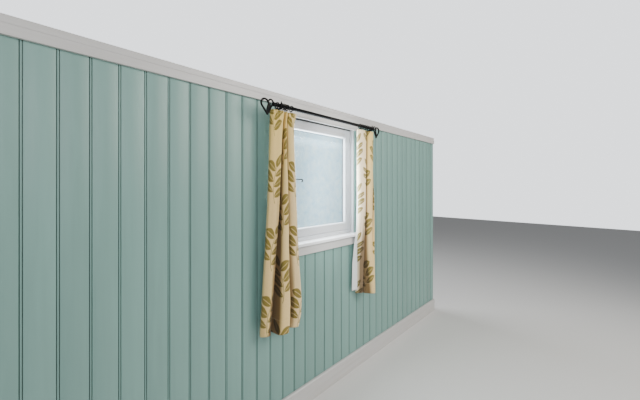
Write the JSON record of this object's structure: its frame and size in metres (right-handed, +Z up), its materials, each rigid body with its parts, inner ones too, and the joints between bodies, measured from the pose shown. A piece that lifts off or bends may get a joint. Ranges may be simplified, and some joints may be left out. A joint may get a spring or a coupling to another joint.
{
  "type": "shepherds hut side wall with curtained window",
  "caption": "Timber framed side wall of a shepherds hut, lined with beaded boards, with a casement window, curtain pole and curtains; stands between end walls.",
  "frame": {"origin": "middle of the sole plate's underside, under the middle of the window", "axes": "+Z up, +X along the wall to the right as seen from the room, +Y to the outside"},
  "size_m": [3.6, 0.2655, 1.905],
  "materials": {
    "bare_timber": "sawn softwood",
    "wall_paint": "sage green eggshell paint",
    "trim_paint": "white eggshell paint",
    "window_paint": "white eggshell paint",
    "hinge_paint": "white eggshell paint over steel",
    "glass": "clear float glass",
    "black_iron": "black waxed iron",
    "curtain_cloth": "printed cotton with a white lining"
  },
  "bodies": {
    "root": {"sole_plate": "bare_timber", "top_plate": "bare_timber", "end_stud_left": "bare_timber", "end_stud_right": "bare_timber", "studs_left": "bare_timber", "studs_right": "bare_timber", "trimmer_left": "bare_timber", "trimmer_right": "bare_timber", "head_trimmer": "bare_timber", "sill_trimmer": "bare_timber", "cripple_stud": "bare_timber", "lining_left": "wall_paint", "lining_right": "wall_paint", "lining_below": "wall_paint", "lining_above": "wall_paint", "cladding_left": "wall_paint", "cladding_right": "wall_paint", "cladding_below": "wall_paint", "cladding_above": "wall_paint", "frieze_board": "trim_paint", "skirting_board": "trim_paint", "head_board": "trim_paint", "window_board": "trim_paint", "apron": "trim_paint", "frame_head": "window_paint", "frame_sill": "window_paint", "frame_jamb_left": "window_paint", "frame_jamb_right": "window_paint", "sash_top_rail": "window_paint", "sash_bottom_rail": "window_paint", "sash_stile_left": "window_paint", "sash_stile_right": "window_paint", "glazing_beads": "window_paint", "glass_pane": "glass", "sash_hinges": "hinge_paint", "casement_fastener": "black_iron", "curtain_pole": "black_iron", "finial_left": "black_iron", "finial_right": "black_iron", "bracket_left": "black_iron", "bracket_right": "black_iron", "rings_left": "black_iron", "rings_right": "black_iron", "curtain_left": "curtain_cloth", "curtain_right": "curtain_cloth"}
  },
  "joints": []
}
